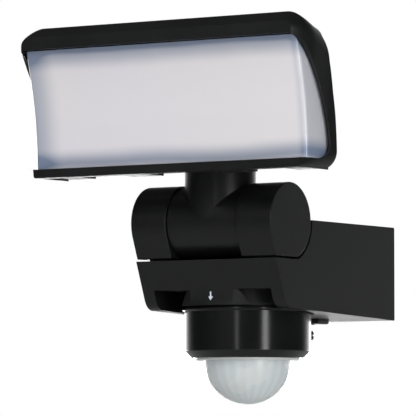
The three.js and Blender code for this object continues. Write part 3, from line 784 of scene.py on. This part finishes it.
class FLOOD_OT_lamp(bpy.types.Operator):
    """Lamp bezel with its hood, cheeks and lip, the diffuser and the rear cover."""

    bl_idname = "flood.lamp"
    bl_label = "Lamp head"

    def execute(self, context):
        self.bezel(context.scene.flood_lamp)
        self.diffuser()
        self.rear_cover(context.scene.flood_lamp)
        self.socket_cap()
        return {"FINISHED"}

    def bezel(self, sizes):
        heights = [94 - 64 * i / 40 for i in range(41)]
        outline = [
            (-72, LIP_BOTTOM - 0.6), (-72, 112), (-39.5, 112), (-39.5, HOOD_TOP - 4.2), (-37.8, 99),
            *[(bowed(BEZEL_BACK_Y, z), z) for z in heights],
            (COVER_BACK_Y, LIP_TOP), (COVER_BACK_Y, LIP_BOTTOM - 0.6)]
        body = prism("lamp_bezel_shell", outline, -sizes.half_width, sizes.half_width, "X")
        common(body, self.front_form(sizes))
        half = sizes.opening_half
        for side in (-1, 1):
            cut(body, self.cheek_sweep(side, half, sizes.half_width + 1))
        cut(body,
            block("front_trim", (-100, 100), (-90, LIP_FRONT), (20, LIP_TOP + 0.1)),
            prism("opening", front_outline(half, half, LIP_TOP, HOOD_UNDER, 3, 3), -90, 0, "Y"))
        for side in (-1, 1):
            low, high = sorted((side * 84.4, side * 100))
            cut(body, block("end_trim", (low, high), (CHEEK_BACK_Y, 0), (20, LIP_TOP + 6)))
        room = [(-64, 90), (-64, 99.3), (-56.8, 103.2), (-41.5, 99.4), (-41, 90)]
        cut(body, prism("hood_room", room, -81, 81, "X"))
        cut(body, block("rib_room", (-84.2, 84.2), (-50, 0), (0, 40)))
        soften(body, sizes.edge)
        place(body, "lamp_head", "black_plastic", finish_of("black"), "lamp_bezel")

    def front_form(self, sizes):
        """Rounded outlines that draw in toward the front: a chamfered roof and swept cheeks."""
        break_y = HOOD_BREAK_Y
        sweep_y, front_y = break_y + 7.1, break_y - sizes.chamfer_depth
        radius = sizes.side_sweep
        stations = [0.0, CHEEK_BACK_Y - 0.5]
        stations += [CHEEK_BACK_Y + (sweep_y - CHEEK_BACK_Y) * i / 6 for i in range(1, 7)]
        stations += [sweep_y + (break_y - sweep_y) * i / 4 for i in range(1, 5)]
        stations += [break_y + (front_y - break_y) * i / 8 for i in range(1, 9)]
        rings = []
        for y in stations:
            ahead = max(0.0, min(1.0, (break_y - y) / (break_y - front_y)))
            swept = max(0.0, sweep_y - y)
            side = radius - math.sqrt(radius ** 2 - swept ** 2)
            lip = max(0.0, min(1.0, (CHEEK_BACK_Y - y) / (CHEEK_BACK_Y - LIP_FRONT)))
            behind = max(0.0, min(1.0, (y - break_y) / 17.0))
            top = HOOD_TOP - sizes.chamfer_rise * ahead - max(0.0, y - break_y) * 0.235
            front = front_outline(
                sizes.half_width - sizes.lip_inset * lip, sizes.half_width - side,
                LIP_BOTTOM - 0.6, top, sizes.corner_bottom + (1.2 - sizes.corner_bottom) * lip,
                sizes.corner_top + (4.6 - sizes.corner_top) * ahead ** 0.8 + 4.5 * behind)
            rings.append([(x, y, z) for x, z in front])
        return loft("front_form", rings)

    def cheek_sweep(self, side, inner, outer):
        """What is cleared before a cheek's front edge, flared outward into a slanting land."""
        inner_edge = curve([(-32, 38), (-33.5, 58), (-48, 84), (-67.8, HOOD_UNDER)], 36)
        outer_edge = curve([(-36, 37), (-39, 58), (-53, 82), (-68.2, 101.6)], 36)
        inner_foot = curve([(-46, LIP_TOP), (-32.2, LIP_TOP), (-32, 37.5)], 10)
        outer_foot = curve([(-50, LIP_TOP), (-36.4, LIP_TOP), (-36, 36.5)], 10)
        rings = []
        for x, edge, foot in ((inner - 2, inner_edge, inner_foot), (inner, inner_edge, inner_foot),
                              (outer, outer_edge, outer_foot)):
            ring = [(-90, LIP_TOP), *foot, *edge, (-90, edge[-1][1])]
            rings.append([(side * x, y, z) for y, z in ring])
        return loft("cheek_sweep", rings)

    def diffuser(self):
        low, high = node_span("diffuser", 2)
        half = node_span("diffuser", 0)[1]
        corner = 2.6
        steps = 48
        around = 10
        heights = [low + (high - low) * i / steps for i in range(steps + 1)]
        rings = []
        for z in heights:
            front, back = bowed(FACE_Y, z), bowed(DIFFUSER_BACK_Y, z)
            right = arc((half - corner, front + corner), corner, -90, 0, around)
            left = arc((-half + corner, front + corner), corner, 180, 270, around)
            rim = [(half, back + 3.2), (half - 1.1, back + 3.2), (half - 1.1, back)]
            far = [(-x, y) for x, y in reversed(rim)]
            rings.append([(x, y, z) for x, y in [*left, *right, *rim, *far]])
        shell = loft("diffuser_shell", rings)
        cut(shell, bowed_slab("hollow", FACE_Y + 2, DIFFUSER_BACK_Y + 5, (low + 2, high - 2), half - 2))
        soften(shell, 0.3, angle=60, rounds=2)
        place(shell, "lamp_head", "diffuser_plastic", finish_of("milky"), "diffuser")

    def rear_cover(self, sizes):
        low, high = LIP_TOP + FIT_GAP, HOOD_UNDER - FIT_GAP
        half = sizes.opening_half - FIT_GAP
        shell = bowed_slab("rear_cover_shell", DIFFUSER_BACK_Y + FIT_GAP, COVER_BACK_Y, (low, high), half)
        soften(shell, 1.2)
        seat = bowed_slab("rim_seat", -60, COVER_BACK_Y - 3.6, (20, 100), 100)
        cut(shell, cut(seat, block("inside", (-half + 1.5, half - 1.5), (-100, 0), (0, 120))))
        fuse(shell, block("bridge", (-15, 15), (-31, -10), (34, 60)))
        cut(shell, bowed_slab("tray", -45, -28, (32.5, 92), 84.5))
        socket = disc("socket", KNUCKLE_R, 31, SOCKET_TOP, steps=160)
        fuse(shell, socket)
        for left, right in RIBS:
            fuse(shell, block("rib", (left, right), (-49.6, COVER_BACK_Y), (LIP_BOTTOM + 0.3, LIP_TOP)))
            fuse(shell, block("rib_root", (left, right), (bowed(DIFFUSER_BACK_Y, 31) + 1, COVER_BACK_Y),
                              (LIP_TOP - 1, 32)))
        cut(shell, disc("spigot_bore", SPIGOT_R + FIT_GAP, 20, 80, steps=96))
        for x, z in COVER_SCREWS:
            back = bowed(COVER_BACK_Y, z)
            cut(shell, rod("hole", 1.9, (x, -60, z), (x, 0, z), 24),
                rod("head_seat", 3.4, (x, back - 1.2, z), (x, 0, z), 32))
        soften(shell, 0.35, angle=50, rounds=2)
        place(shell, "lamp_head", "black_plastic", finish_of("black"), "rear_cover")

    def socket_cap(self):
        cap = turned("socket_cap_shell", [
            (17.2, 60.35), (19.7, 60.35), (19.7, 65.0), *arc((16.7, 65.0), 3.0, 0, 90, 8),
            (0, 68), (0, 65.2), (17.2, 65.2)], steps=128)
        shade(cap)
        place(cap, "lamp_head", "black_plastic", finish_of("black"), "socket_cap")


# ---- motion sensor -------------------------------------------------------------------------------------
KNOBS = {"range_knob": 50.0, "time_knob": 90.0, "dusk_knob": 130.0}
KNOB_Z = -61.0
LENS_CENTRE_Z, LENS_WALL = -75.0, 1.2


def outward(distance, degrees, height=KNOB_Z):
    """A point so far out from the sensor's axis."""
    angle = math.radians(degrees)
    return (distance * math.cos(angle), SENSOR_Y + distance * math.sin(angle), height)


class FLOOD_OT_sensor(bpy.types.Operator):
    """Sensor barrel, its lens ring, the dome lens and the three adjusters."""

    bl_idname = "flood.sensor"
    bl_label = "Motion sensor"

    def execute(self, context):
        sizes = context.scene.flood_sensor
        radius = sizes.body_radius
        barrel = turned("sensor_barrel", [
            (18.2, -36), (20.6, -36), (20.6, -40.2), (19.2, -40.2), (19.2, -42.4),
            (NECK_R, -42.4), (NECK_R, -46.1), (FLANGE_R - 0.4, -46.1), (FLANGE_R, -46.5),
            (FLANGE_R, -47.4), (FLANGE_R - 0.3, -47.7), (radius + 0.3, -47.9), (radius, -48.3),
            (radius, -69.6), (radius - 0.2, -70.2), (31.5, -73.6), (31.0, -73.9), (29.2, -73.9),
            (28.95, -73.6), (28.95, -71.5), (32.5, -69.5), (32.5, -49), (18.2, -49)],
            centre_y=SENSOR_Y, steps=192)
        for degrees in KNOBS.values():
            cut(barrel, rod("hole", 2.6, outward(28, degrees), outward(40, degrees), 32))
        tick = block("tick", (1.4, 2.0), (SENSOR_Y - radius - 1, SENSOR_Y - radius + 0.3), (-52.6, -49.4))
        cut(barrel, tick)
        shade(barrel, 24)
        place(barrel, "sensor", "black_plastic", finish_of("barrel"), "sensor_housing")
        self.lens(sizes)
        for name, degrees in KNOBS.items():
            self.knob(name, degrees, radius)
        return {"FINISHED"}

    def lens(self, sizes):
        top = node_span("sensor_lens", 2)[1]
        steps = 40
        dome = []
        for i in range(steps + 1):
            angle = math.pi / 2 * i / steps
            dome.append((sizes.lens_radius * math.cos(angle),
                         LENS_CENTRE_Z - sizes.lens_radius * math.sin(angle)))
        share = 1 - LENS_WALL / sizes.lens_radius
        inside = [(r * share, LENS_CENTRE_Z + (z - LENS_CENTRE_Z) * share) for r, z in reversed(dome)]
        dome[-1] = (0.0, dome[-1][1])
        inside[0] = (0.0, inside[0][1])
        lens = turned("dome_lens", [
            (sizes.lens_radius, top), *dome, *inside, (sizes.lens_radius - LENS_WALL, top)],
            centre_y=SENSOR_Y, steps=144)
        shade(lens)
        place(lens, "sensor", "lens_plastic", finish_of("lens"), "sensor_lens")
        low, high = node_span("lens_ring", 2)
        ring = turned("lens_flange", [
            (sizes.lens_radius + FIT_GAP, low), (28.3, low), (28.6, low + 0.3), (28.6, high),
            (sizes.lens_radius + FIT_GAP, high)], centre_y=SENSOR_Y, steps=144)
        shade(ring)
        place(ring, "sensor", "white_plastic", finish_of("white"), "lens_ring")

    def knob(self, name, degrees, radius):
        knob = rod(name + "_cap", 2.7, outward(radius + 0.55, degrees), outward(radius + 3.1, degrees), 64)
        soften(knob, 1.1)
        fuse(knob, rod("shaft", 2.2, outward(30, degrees), outward(radius + 1, degrees), 32))
        groove = block("groove", (radius + 2.1, 45), (-3, 3), (KNOB_Z - 0.5, KNOB_Z + 0.5))
        groove.data.transform(
            Matrix.Translation(SENSOR_AXIS * 1.0) @ Matrix.Rotation(math.radians(degrees), 4, "Z")
            @ Matrix.Translation(-Vector((TILT_AXIS.x, TILT_AXIS.y, SENSOR_AXIS.z))))
        cut(knob, groove)
        shade(knob)
        place(knob, name, "black_plastic", finish_of("black"), name)


# ---- pieces that keep their CAD shape --------------------------------------------------------------------
class FLOOD_OT_fittings(bpy.types.Operator):
    """Finishes for the bracket, fasteners, electronics and other carried-over pieces."""

    bl_idname = "flood.fittings"
    bl_label = "Fittings"

    def execute(self, context):
        kinds = {
            "steel": "steel", "aluminium": "aluminium", "rubber": "rubber",
            "board_green": "board", "board_white": "white board",
            "inner_plastic": "inner", "white_plastic": "white", "black_plastic": "black",
            "lens_plastic": "lens", "diffuser_plastic": "milky",
        }
        for row in frame["record"]["subparts"]:
            carried = frame["nodes"][row["node"]]
            carried.data.materials.clear()
            carried.data.materials.append(finish_of(kinds[row["material_slot"]]))
        return {"FINISHED"}


# ---- stage -------------------------------------------------------------------------------------------
# Plain studio: a white sweep below and behind, a soft box over the front, and an even fill. Each is
# (azimuth, height) in degrees as seen from the object, its strength, and how tightly it is gathered.
SWEEP_GLOW = (210, -40, 50, 6)
TOP_GLOW = (0, 45, 4, 8)
FILL_GLOW = 0.05
# Two soft strip lights: (azimuth, distance, width, height, power, lift), in degrees, metres and watts.
STRIP_RIGHT = (65, 1.5, 0.26, 1.3, 11.0, 0.15)
STRIP_FRONT = (13, 1.5, 0.14, 1.3, 1.7, 0.05)
FLOOR_HALF, FLOOR_DROP = 3.0, 0.42
CAMERA_LENS = 330.8
CAMERA_AZIMUTH, CAMERA_PITCH = 32.85, 3.49
CAMERA_DISTANCE = 2.1027
CAMERA_AIM = (-5.5, -4.2, 8.2)  # from the tilt axis, in mm


class FLOOD_OT_stage(bpy.types.Operator):
    """Pale floor, soft studio light and the camera."""

    bl_idname = "flood.stage"
    bl_label = "Stage"

    def execute(self, context):
        scene = context.scene
        scene.view_settings.view_transform = "Standard"
        self.floor()
        self.studio(scene)
        self.strip("strip_right", *STRIP_RIGHT)
        self.strip("strip_front", *STRIP_FRONT)
        self.camera(scene)
        return {"FINISHED"}

    def floor(self):
        work = bmesh.new()
        bmesh.ops.create_grid(work, x_segments=1, y_segments=1, size=FLOOR_HALF)
        mesh = bpy.data.meshes.new("floor")
        work.to_mesh(mesh)
        work.free()
        ground = bpy.data.objects.new("floor", mesh)
        ground.location = (0, 0, -FLOOR_DROP)
        bpy.context.scene.collection.objects.link(ground)
        finish = Finish("pale floor")
        cloud = finish.noise(4.0, 2.0, 0.5)
        mesh.materials.append(finish.set(
            Base_Color=finish.mix(cloud, (0.78, 0.78, 0.78, 1), (0.84, 0.84, 0.84, 1)),
            Roughness=0.7))

    def studio(self, scene):
        """White surround: plain white where it is seen, and a soft light on the object."""
        world = bpy.data.worlds.new("studio")
        scene.world = world
        world.use_nodes = True
        graph = Finish.__new__(Finish)
        graph.tree = world.node_tree
        graph.tree.nodes.clear()
        facing = graph.node("ShaderNodeTexCoord").socket
        glow = FILL_GLOW
        for azimuth, height, strength, tightness in (SWEEP_GLOW, TOP_GLOW):
            turn, climb = math.radians(azimuth), math.radians(height)
            toward = (math.sin(turn) * math.cos(climb), -math.cos(turn) * math.cos(climb),
                      math.sin(climb))
            match = graph.node("ShaderNodeVectorMath", {"operation": "DOT_PRODUCT"},
                               [facing, toward], output="Value")
            glow = glow + match.clamp() ** tightness * strength
        lit = graph.node("ShaderNodeBackground", None, {"Strength": glow})
        seen = graph.node("ShaderNodeBackground", None, {"Strength": 1.0, "Color": (1, 1, 1, 1)})
        rays = graph.node("ShaderNodeLightPath", None, None, output="Is Camera Ray")
        either = graph.node("ShaderNodeMixShader", None, [rays, lit, seen])
        output = graph.tree.nodes.new("ShaderNodeOutputWorld")
        graph.feed(output.inputs["Surface"], either)

    def strip(self, name, azimuth, distance, width, height, power, lift):
        """A soft light at an angle round the object, turned to face it."""
        data = bpy.data.lights.new(name, "AREA")
        data.shape = "RECTANGLE"
        data.size, data.size_y = width, height
        data.energy = power
        light = bpy.data.objects.new(name, data)
        angle = math.radians(azimuth)
        back = Vector((math.sin(angle), -math.cos(angle), 0)) * distance
        light.location = TILT_AXIS + back + Vector((0, 0, lift))
        light.rotation_mode = "QUATERNION"
        light.rotation_quaternion = (TILT_AXIS - light.location).to_track_quat("-Z", "Y")
        bpy.context.scene.collection.objects.link(light)

    def camera(self, scene):
        """Seen from the right and from a little below, through a long lens."""
        data = bpy.data.cameras.new("camera")
        data.sensor_width = 36.0
        data.lens = CAMERA_LENS
        data.clip_start, data.clip_end = 0.05, 20.0
        camera = bpy.data.objects.new("camera", data)
        azimuth, pitch = math.radians(CAMERA_AZIMUTH), math.radians(CAMERA_PITCH)
        ahead = Vector((-math.sin(azimuth) * math.cos(pitch), math.cos(azimuth) * math.cos(pitch),
                        math.sin(pitch)))
        aim = TILT_AXIS + Vector(CAMERA_AIM) * MM
        camera.location = aim - ahead * CAMERA_DISTANCE
        camera.rotation_mode = "QUATERNION"
        camera.rotation_quaternion = ahead.to_track_quat("-Z", "Y")
        scene.collection.objects.link(camera)
        scene.camera = camera


class FLOOD_PT_panel(bpy.types.Panel):
    """Lists the pieces in the order they are made."""

    bl_idname = "FLOOD_PT_panel"
    bl_label = "Flood light"
    bl_space_type = "VIEW_3D"
    bl_region_type = "UI"
    bl_category = "Flood light"

    def draw(self, context):
        for operator in OPERATORS:
            self.layout.operator(operator.bl_idname)


OPERATORS = (
    FLOOD_OT_stage, FLOOD_OT_fittings, FLOOD_OT_housing, FLOOD_OT_yoke, FLOOD_OT_lamp,
    FLOOD_OT_sensor)
SETTINGS = {
    "flood_lamp": LampSizes, "flood_housing": HousingSizes, "flood_sensor": SensorSizes,
    "flood_finish": FinishColours}


def register():
    for made in (*SETTINGS.values(), *OPERATORS, FLOOD_PT_panel):
        bpy.utils.register_class(made)
    for name, group in SETTINGS.items():
        setattr(bpy.types.Scene, name, bpy.props.PointerProperty(type=group))


def unregister():
    for name in SETTINGS:
        delattr(bpy.types.Scene, name)
    for made in (FLOOD_PT_panel, *reversed(OPERATORS), *reversed(SETTINGS.values())):
        bpy.utils.unregister_class(made)


def main():
    register()
    for operator in OPERATORS:
        group, name = operator.bl_idname.split(".")
        getattr(getattr(bpy.ops, group), name)()


if __name__ == "__main__":
    main()
